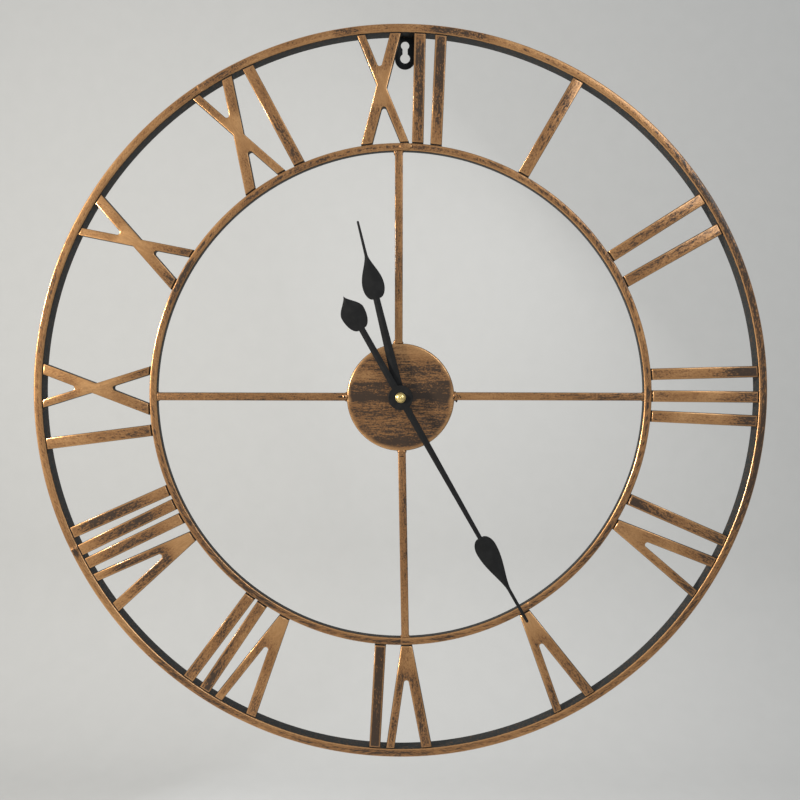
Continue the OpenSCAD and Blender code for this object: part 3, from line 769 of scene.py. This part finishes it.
def spoke(name, degrees):
    bm = cad_copy("spoke_" + name)
    bevel(bm, sharp_edges(bm), 0.7, 4)
    material = spoke_copper("copper_spoke_" + name, math.radians(degrees), 3 + degrees / 40)
    put("spoke_%s_skin" % name, to_mesh(bm, name, 50), material, FRAME_BODY,
        ["spoke_" + name])


def mean(values):
    return sum(values) / len(values)


def spoke_side(name, degrees, out):
    """Sideways place of a spoke's middle at a radius, from the corners of its CAD shape."""
    a = math.radians(degrees)
    halfway = (CUP_R + INNER_R) / 2
    corners = []
    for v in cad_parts["spoke_" + name].data.vertices:
        x, z = v.co.x / MM, v.co.z / MM
        corners.append((x * math.cos(a) - z * math.sin(a), x * math.sin(a) + z * math.cos(a)))
    near = [corner for corner in corners if corner[1] <= halfway]
    far = [corner for corner in corners if corner[1] > halfway]
    side, start = mean([p[0] for p in near]), mean([p[1] for p in near])
    far_side, end = mean([p[0] for p in far]), mean([p[1] for p in far])
    return side + (far_side - side) * (out - start) / (end - start)


# Lumps of weld beside the spokes. Each row is: spoke, the radius it is measured from, its
# place across, outward and in front of the face, its three radii, seed, lumpiness and turn
WELD_LUMPS = (
    # the flat button on the face of the inner ring, and the lump next to it
    ("top", INNER_INSIDE, (5.6, 3.3, 0.1), (5.2, 0.7, 2.7), 8, 0.12, 0.0),
    ("top", INNER_INSIDE, (-2.6, -1.6, -1.4), (1.6, 1.3, 2.6), 9, 0.25, 0.0),
    # the flared foot of the top spoke and the lumps at the other three
    ("top", CUP_R, (-2.7, 0.6, -2.0), (2.0, 1.7, 2.7), 10, 0.2, 0.35),
    ("right", CUP_R, (0.2, 1.2, -0.9), (2.6, 1.5, 3.3), 11, 0.35, 0.0),
    ("bottom", CUP_R, (0.0, 0.8, -0.9), (3.3, 1.3, 2.3), 12, 0.25, 0.0),
    ("left", CUP_R, (0.0, 1.6, -0.6), (2.2, 1.5, 2.4), 13, 0.18, 0.0),
)
# Black drips of the torch beside the cup, and painted shade in two rows; the columns are as in
# WELD_LUMPS
DRIPS_AND_PAINTED_SHADE = (
    ("right", CUP_R, (3.0, 1.6, -1.6), (1.1, 1.1, 2.0), 21, 0.3, 0.0),
    ("bottom", CUP_R, (0.0, 4.4, -0.45), (2.2, 0.35, 0.4), 22, 0.3, 0.0),
    # painted shade: a dark spot in the middle of the left lump stands for the shade in its pit
    ("left", CUP_R, (-0.1, 1.7, 0.80), (0.75, 0.42, 0.9), 23, 0.2, 0.0),
    ("left", CUP_R, (0.0, 4.6, -0.30), (2.2, 0.36, 0.7), 24, 0.5, 0.0),
    # painted shade: a thin dark streak at the foot of the right lump stands for the shade in a
    # crack there
    ("right", CUP_R, (1.0, -0.2, 0.15), (2.1, 0.5, 0.4), 25, 0.4, 2.2),
    ("right", CUP_R, (0.4, 4.6, -0.25), (1.7, 0.4, 0.35), 26, 0.4, 1.0),
)


def lumps(bm, rows):
    """Adds the lumps of a table to a bmesh."""
    for name, base, (across, outward, ahead), radii, seed, lump, turn in rows:
        degrees = dict(SPOKES)[name]
        across += spoke_side(name, degrees, base)
        center = on_dial(across, base + outward, FRONT + ahead, degrees)
        blob(bm, center, radii, seed, lump, turn)


def spoke_welds():
    """Weld metal at both ends of the spokes, painted with the frame."""
    bm = bmesh.new()
    for index, (name, degrees) in enumerate(SPOKES):
        turn = math.radians(degrees)
        for out, into_gap in ((CUP_R, 0.4), (INNER_INSIDE, -0.4)):
            middle = spoke_side(name, degrees, out)
            for side in (-1, 1):
                center = on_dial(middle + side * 2.4, out + into_gap, FRONT - 2.8, degrees)
                blob(bm, center, (1.5, 2.0, 1.6), index * 3 + side, 0.3, turn)
    lumps(bm, WELD_LUMPS)
    put("spoke_welds", to_mesh(bm, "spoke_welds", 60), blob_copper("weld_copper"), FRAME_BODY,
        ["weld_beads"])


def weld_drips_and_painted_shade():
    """Small black drips left by the torch beside the cup, and painted shade: dark spots standing
    for the shade in a crack and in a pit of the weld lumps.
    """
    bm = bmesh.new()
    lumps(bm, DRIPS_AND_PAINTED_SHADE)
    put("weld_drips_and_painted_shade", to_mesh(bm, "weld_drips_and_painted_shade", 60), WELD_DARK_AND_PAINTED_SHADE, FRAME_BODY)


def centre_cup():
    """A pressed cup whose flat face is a little uneven and dished at the fixing hole."""
    rim = 1.7
    bore = 4.1
    flat_to = 39
    dish = 0.10
    profile = [(bore, FRONT - SHEET), (bore, FRONT - 0.25), (bore + 0.25, FRONT)]
    for r in (8, 12, 16, 20, 24, 28, 32, 35, 38, 40):
        profile.append((r, FRONT))
    profile += corner_arc((CUP_R - rim, FRONT - rim), rim, 90, 0, 8)
    profile += [(CUP_R, 16), (CUP_R, 8), (CUP_R, 0.4), (CUP_R - 0.4, 0), (CUP_R - SHEET, 0)]
    inner = rim - SHEET
    profile += corner_arc((CUP_R - rim, FRONT - rim), inner, 0, 90, 5)
    profile += [(30, FRONT - SHEET), (16, FRONT - SHEET)]

    def uneven(a, r, s):
        if s > FRONT - SHEET - 0.1 and r < flat_to:
            place = (r * math.sin(a), 0, r * math.cos(a))
            s -= dish * (1 + rough_at(place, 0.07, 6)) * min(1.0, (flat_to - r) / 8)
        return r, s

    bm = bmesh.new()
    lathe(bm, profile, even_angles(160), uneven)
    bands = ((5.2, 6.4, 0.46), (32.0, 3.0, 0.34), (23.0, 2.8, 0.22), (-36.0, 3.0, 0.10))
    put("centre_cup_skin", to_mesh(bm, "centre_cup"), disc_copper("copper_disc", bands, 5.0),
        FRAME_BODY, ["centre_cup"])


# ---- Hands ----

def spade_half(t, foot, widest, half, point):
    """Half width of a spade: t runs from 0 at its foot to 1 at its point."""
    if t < widest:
        return foot + (half - foot) * math.sqrt(max(0.0, 1 - (1 - t / widest) ** 2))
    fall = math.cos(math.pi / 2 * (t - widest) / (1 - widest))
    return point + (half - point) * max(0.0, fall) ** 1.5


def spade(start, end, foot, widest, half, point):
    """Rows of a spade between two distances out; widest is where, as a share of it."""
    steps = 44
    rows = []
    for i in range(steps + 1):
        t = (i / steps) ** 1.35
        rows.append((start + (end - start) * t, spade_half(t, foot, widest, half, point)))
    return rows


def stem(start, end, from_half, to_half, steps=12):
    """Rows of a straight stretch whose half width changes evenly."""
    return [(start + (end - start) * i / steps,
             from_half + (to_half - from_half) * i / steps) for i in range(steps)]


def blunt_end(length, half):
    """The round end of a hand."""
    steps = 6
    rows = []
    for i in range(1, steps):
        a = math.pi / 2 * i / steps
        rows.append((length - half + half * math.sin(a), half * math.cos(a)))
    return rows + [(length, 0.04)]


def blade(bm, rows, hub_back, ridge, degrees):
    """A creased blade of sheet: rows are (distance out, half width)."""
    thick = 0.66
    back = hub_back + 0.02
    sections = []
    for out, half in rows:
        rise = ridge * min(1.0, max(0.0, (out - 9.0) / 8.0)) * min(1.0, half / 2.6)
        soft = min(0.18, half * 0.4)  # the rounded border of the sheet
        across = (-half, -half + soft, -half * 0.5, -half * 0.06, half * 0.06, half * 0.5,
                  half - soft, half)
        front = []
        rear = []
        for x in across:
            crease = rise * (1 - abs(x) / max(half, 0.01))
            edge = soft * 0.8 if abs(x) >= half - 1e-6 else 0.0
            front.append(on_dial(x, out, back + thick + crease - edge, degrees))
            rear.append(on_dial(x, out, back + crease + edge * 0.4, degrees))
        sections.append([bm.verts.new(p) for p in front + rear[::-1]])
    join_rows(bm, sections, True, False)
    bm.faces.new(sections[0])
    bm.faces.new(sections[-1][::-1])


def hub(bm, radius, bore, back):
    """The round plate of a hand about its hole."""
    thick = 0.75
    soft = 0.22
    profile = [(bore, back + 0.05), (bore, back + thick - 0.05), (bore + 0.1, back + thick),
               (radius - soft, back + thick), (radius - soft * 0.3, back + thick - soft * 0.3),
               (radius, back + thick - soft), (radius, back + soft), (radius - soft, back)]
    lathe(bm, profile, even_angles(96))


def hand_facts(node):
    """Length, clockwise angle in degrees and back stand-off of a hand, from its CAD shape."""
    far = max((v.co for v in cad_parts[node].data.vertices),
              key=lambda p: math.hypot(p.x, p.z))
    return (math.hypot(far.x, far.z) / MM, math.degrees(math.atan2(far.x, far.z)),
            -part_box(node)[1].y / MM)


def hour_hand():
    length, degrees, back = hand_facts("hour_hand")
    spade_from = 82
    spade_to = 118
    neck = 2.7
    needle = 0.95
    bm = bmesh.new()
    rows = stem(6, spade_from, 4.1, neck) + spade(spade_from, spade_to, neck, 0.3, 8.9, 1.25)
    rows += stem(spade_to + 1, length - 1, 1.22, needle, 6) + blunt_end(length, needle)
    blade(bm, rows, back, 0.55, degrees)
    hub(bm, 9.5, 2.6, back)
    put("hour_hand_skin", to_mesh(bm, "hour_hand", 6), HAND_BLACK, "hour_set",
        ["hour_hand"])


def minute_hand():
    """The long blade with its spade, and the tail with its leaf."""
    length, degrees, back = hand_facts("minute_hand")
    spade_from = 131
    spade_to = 179.5
    neck = 1.8
    needle = 1.25
    leaf_from = 63.3
    tail_length = 93.3
    bm = bmesh.new()
    rows = stem(6, spade_from, 2.9, neck) + spade(spade_from, spade_to, neck, 0.22, 8.8, 1.4)
    rows += stem(spade_to + 1, length - 1.3, 1.38, needle, 6) + blunt_end(length, needle)
    blade(bm, rows, back, 0.55, degrees)
    tail = stem(6, leaf_from, 2.8, 2.6) + spade(leaf_from, tail_length, 2.6, 0.5, 10.1, 0.2)
    blade(bm, tail, back, 0.6, degrees + 180)
    hub(bm, 10.0, 1.6, back)
    put("minute_hand_skin", to_mesh(bm, "minute_hand", 6), HAND_BLACK, "minute_set",
        ["minute_hand"])


def cap_nut():
    """Turned brass dome with a dimple at its top and a small flange."""
    low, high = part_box("cap_nut")
    radius = high.x / MM
    base = -high.y / MM
    top = -low.y / MM
    bore = 1.55
    flange = 0.95
    dome = top - base - 1.0
    profile = [(bore, base), (radius - 0.15, base), (radius, base + 0.15),
               (radius, base + 0.75), (radius - 0.25, base + flange)]
    for i in range(1, 13):
        a = math.pi / 2 * i / 12
        profile.append(((radius - 0.3) * math.cos(a) + 0.55 * (i / 12) ** 6,
                        base + flange + dome * math.sin(a)))
    profile += [(0.38, top - 0.22), (0.14, top - 0.34), (0.02, top - 0.36),
                (0.02, top - 1.0), (bore, top - 1.05)]
    bm = bmesh.new()
    lathe(bm, profile, even_angles(72))
    put("cap_nut_skin", to_mesh(bm, "cap_nut", 30), BRASS, "minute_set",
        ["cap_nut"])


# ---- Movement ----

PLATE_THICK = 0.4


def lying(node):
    """Ends along X of a CAD node, and the stand-off, Z and radius of its middle line."""
    low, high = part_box(node)
    return (low.x / MM, high.x / MM, -(high.y + low.y) / 2 / MM, (high.z + low.z) / 2 / MM,
            (high.z - low.z) / 2 / MM)


def battery():
    """AA cell: rolled can edges, printed sleeve and a stepped positive button."""
    start, end, stand, z, radius = lying("battery")
    profile = [(start, 0.03), (start, 4.6), (start + 0.25, 4.9), (start + 0.25, 5.9),
               (start + 0.05, 6.2), (start + 0.1, radius - 0.35), (start + 0.45, radius - 0.08),
               (start + 0.9, radius), (end - 2.3, radius), (end - 1.75, radius - 0.15),
               (end - 1.5, radius - 0.6), (end - 1.45, radius - 1.3), (end - 1.65, 5.3),
               (end - 1.55, 3.2), (end - 1.3, 2.75), (end - 0.3, 2.65), (end - 0.05, 2.35),
               (end, 1.9), (end, 0.03)]
    bm = bmesh.new()
    rows = []
    for a in even_angles(64):
        rows.append([bm.verts.new((x, -stand + r * math.cos(a), z + r * math.sin(a)))
                     for x, r in profile])
    join_rows(bm, rows, False, True)
    bm.faces.new([row[0] for row in rows])
    bm.faces.new([row[-1] for row in rows])
    mesh = to_mesh(bm, "battery", 30)
    put("battery_skin", mesh, SLEEVE, "battery_cell", ["battery"])
    mesh.materials.append(STEEL)
    for face in mesh.polygons:
        x = face.center.x / MM
        if x < start + 0.7 or x > end - 1.9:
            face.material_index = 1


def coil_spring():
    """Conical contact spring on its plate, in place of the plain discs."""
    plate_from, tip, stand, z, _ = lying("contact_negative")
    start = plate_from + 0.55
    end = tip - 0.1
    turns = 3.2
    steps = 150
    sides = 8
    wire = 0.22
    bm = bmesh.new()
    rows = []
    for i in range(steps + 1):
        t = i / steps
        a = 2 * math.pi * turns * t
        radius = 3.7 - 1.9 * t
        outward = Vector((0, math.cos(a), math.sin(a)))
        center = Vector((start + (end - start) * t, -stand, z)) + radius * outward
        row = []
        for b in even_angles(sides):
            around = math.cos(b) * outward + math.sin(b) * Vector((1, 0, 0))
            row.append(bm.verts.new(center + wire * around))
        rows.append(row)
    join_rows(bm, rows, True, False)
    bm.faces.new(rows[0][::-1])
    bm.faces.new(rows[-1])
    plate(bm, plate_from, plate_from + PLATE_THICK, stand, z)
    put("spring_contact", to_mesh(bm, "spring_contact", 40), STEEL, FRAME_BODY,
        ["contact_negative"])


def plate(bm, from_x, to_x, stand, z):
    """A small square contact plate with rounded edges."""
    width = 8.8
    corners = bmesh.ops.create_cube(bm, size=1.0)["verts"]
    for v in corners:
        v.co = Vector(((from_x + to_x) / 2 + v.co.x * (to_x - from_x),
                       -stand + v.co.y * width, z + v.co.z * width))
    edges = list({e for v in corners for e in v.link_edges})
    bevel(bm, edges, 0.12, 2)


def stud_contact():
    """Plate with a pressed dome that meets the battery's button."""
    _, end, stand, z, _ = lying("contact_positive")
    face = end - PLATE_THICK
    bm = bmesh.new()
    plate(bm, face, end, stand, z)
    blob(bm, (face, -stand, z), (0.95, 2.1, 2.1), 31, 0.0)
    for v in bm.verts:
        v.co.x = min(v.co.x, end)
    put("stud_contact", to_mesh(bm, "stud_contact", 40), STEEL, FRAME_BODY,
        ["contact_positive"])


def case_marks():
    """The moulded mark on the back: a curved arrow round the knob."""
    bm = bmesh.new()
    low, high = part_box("setting_knob")
    middle_x = (low.x + high.x) / 2 / MM
    middle_z = (low.z + high.z) / 2 / MM
    back = -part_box("movement_cover")[1].y / MM
    sunk = back + 0.1
    raised = back - 0.25
    inner = 7.4
    outer = 8.6
    arrow_at = 60
    sweep = 210

    def corner(a, r, stand):
        return bm.verts.new((middle_x + r * math.sin(a), -stand, middle_z + r * math.cos(a)))

    profile = ((inner, sunk), (inner + 0.2, raised), (outer - 0.2, raised), (outer, sunk))
    rows = []
    for i in range(25):
        a = math.radians(arrow_at - sweep + sweep * i / 24)
        rows.append([corner(a, r, stand) for r, stand in profile])
    join_rows(bm, rows, True, False)
    bm.faces.new(rows[0])
    bm.faces.new(rows[-1][::-1])
    head = ((inner - 1.2, 0.0), (outer + 1.2, 0.0), ((inner + outer) / 2, 3.2))
    layers = []
    for stand in (sunk, raised):
        layers.append([corner(math.radians(arrow_at) + ahead / r, r, stand)
                       for r, ahead in head])
    join_rows(bm, layers, True, False)
    bm.faces.new(layers[0])
    bm.faces.new(layers[1][::-1])
    put("case_marks", to_mesh(bm, "case_marks", 30), CASE_BLACK, FRAME_BODY)


def finish_parts():
    """Every other CAD node: rounded edges and a material of its own kind."""
    fixed = (
        ("hanger_plate", BLACK_STEEL, "black_steel", 0.3),
        ("movement_base", CASE_BLACK, "case_plastic", 0.25),
        ("movement_cover", CASE_BLACK, "case_plastic", 0.2),
        ("gear_bridge", NYLON, "white_nylon", 0.1),
        ("rubber_washer", RUBBER, "black_rubber", 0.15),
        ("fixing_washer", BRASS, "brass", 0.12),
        ("fixing_nut", BRASS, "brass", 0.3),
        ("circuit_board", BOARD, "green_board", 0.06),
        ("quartz_crystal", STEEL, "spring_steel", 0.2),
        ("timing_chip", EPOXY, "chip_epoxy", 0.05),
        ("stator", IRON, "iron_sheet", 0.06),
        ("coil_core", IRON, "iron_sheet", 0.06),
        ("coil_bobbin", NYLON, "white_nylon", 0.1),
        ("coil_winding", WIRE, "enamelled_wire", 0.1),
        ("stator_screws", STEEL, "spring_steel", 0.1),
    )
    moving = (
        ("rotor", MAGNET, "motor_rotor", "magnet", 0.04),
        ("step_wheel", NYLON, "step_gear", "white_nylon", 0.03),
        ("seconds_wheel", NYLON, "seconds_gear", "white_nylon", 0.03),
        ("third_wheel", NYLON, "third_gear", "white_nylon", 0.03),
        ("minute_wheel", BRASS, "minute_set", "brass", 0.03),
        ("motion_wheel", NYLON, "motion_gear", "white_nylon", 0.03),
        ("hour_wheel", NYLON, "hour_set", "white_nylon", 0.03),
        ("setting_knob", NYLON, "knob", "white_nylon", 0.08),
        ("hour_hand_boss", HAND_BLACK, "hour_set", "hand_black", 0.2),
        ("minute_hand_boss", HAND_BLACK, "minute_set", "hand_black", 0.2),
    )
    for node, material, slot, width in fixed:
        softened(node, material, FRAME_BODY, width)
    for node, material, body, slot, width in moving:
        softened(node, material, body, width)


# ---- Stage ----

def studio_floor():
    """A pale floor that curves up into a backdrop well behind the clock."""
    front = -3.2
    depth = 1.85
    low = -1.05
    top = 2.6
    half = 3.5
    turn = 0.5
    path = [(front, low), (depth - turn, low)]
    for i in range(1, 13):
        a = math.pi / 2 * i / 12
        path.append((depth - turn + turn * math.sin(a), low + turn - turn * math.cos(a)))
    path.append((depth, top))
    bm = bmesh.new()
    rows = [[bm.verts.new((x, y, z)) for x in (-half, half)] for y, z in path]
    join_rows(bm, rows, False, False)
    for face in bm.faces:
        face.smooth = True
    mesh = bpy.data.meshes.new("studio_floor")
    bm.to_mesh(mesh)
    bm.free()
    shade = Shade("studio_paper")
    place = shade.where()
    fibre = shade.noise(place, 0.02, 3.0)
    tone = shade.mix(fibre, (0.455, 0.46, 0.46, 1), (0.48, 0.485, 0.485, 1))
    mesh.materials.append(shade.finish(color=tone, rough=0.9, specular=0.2))
    floor = into_scene("studio_floor", mesh)


def area_light(name, place, size, power, color, mirrored=True):
    """A round soft light aimed at the dial's middle; mirrored is whether shine shows it."""
    data = bpy.data.lights.new(name, "AREA")
    data.shape = "DISK"
    data.size = size
    data.energy = power
    data.color = color
    light = into_scene(name, data)
    light.location = place
    light.visible_glossy = mirrored
    light.rotation_euler = (-Vector(place)).to_track_quat("-Z", "Y").to_euler()


def studio_lights():
    area_light("key", (-2.1, -1.0, 0.5), 0.35, 95, (1.0, 0.94, 0.84))
    area_light("fill", (1.6, -2.2, 1.4), 1.6, 26, (0.90, 0.95, 1.0))
    area_light("rear", (0.9, 1.3, 0.9), 0.9, 16, (1.0, 0.98, 0.95), False)
    area_light("rear_low", (-1.0, 1.2, -0.3), 0.9, 9, (0.95, 0.97, 1.0), False)
    world = bpy.data.worlds.new("studio")
    world.use_nodes = True
    sky = world.node_tree.nodes["Background"]
    sky.inputs["Color"].default_value = (0.86, 0.88, 0.90, 1)
    sky.inputs["Strength"].default_value = 0.62
    bpy.context.scene.world = world


def camera():
    """Pin-hole camera in front of the dial, a little above its middle and tipped down."""
    distance = 0.6768
    height = 0.0255
    tipped_down = 2.425
    data = bpy.data.cameras.new("camera")
    data.lens = 36
    data.sensor_width = 36
    data.clip_start = 0.05
    eye = into_scene("camera", data)
    eye.location = (-0.00105, -distance, height)
    eye.rotation_euler = (math.radians(90 - tipped_down), 0, math.radians(-0.05))
    bpy.context.scene.camera = eye


def build():
    camera()
    studio_lights()
    studio_floor()
    outer_copper = ring_copper("copper_outer", OUTER_INSIDE, OUTER_R, 1.0, 0.26, OUTER_DARK, 0.2)
    inner_copper = ring_copper("copper_inner", INNER_INSIDE, INNER_R, 2.0, 0.34, INNER_DARK, 0.34)
    ring("outer_ring", OUTER_INSIDE, OUTER_R, OUTER_BACK, (245, 327), outer_copper)
    ring("inner_ring", INNER_INSIDE, INNER_R, INNER_BACK, (148,), inner_copper)
    welds = []
    for hour in range(1, 13):
        welds += numeral(hour)
    stroke_welds(welds)
    for name, degrees in SPOKES:
        spoke(name, degrees)
    centre_cup()
    spoke_welds()
    weld_drips_and_painted_shade()
    hour_hand()
    minute_hand()
    cap_nut()
    battery()
    coil_spring()
    stud_contact()
    case_marks()
    finish_parts()
    bpy.context.scene.view_settings.view_transform = "Standard"


build()
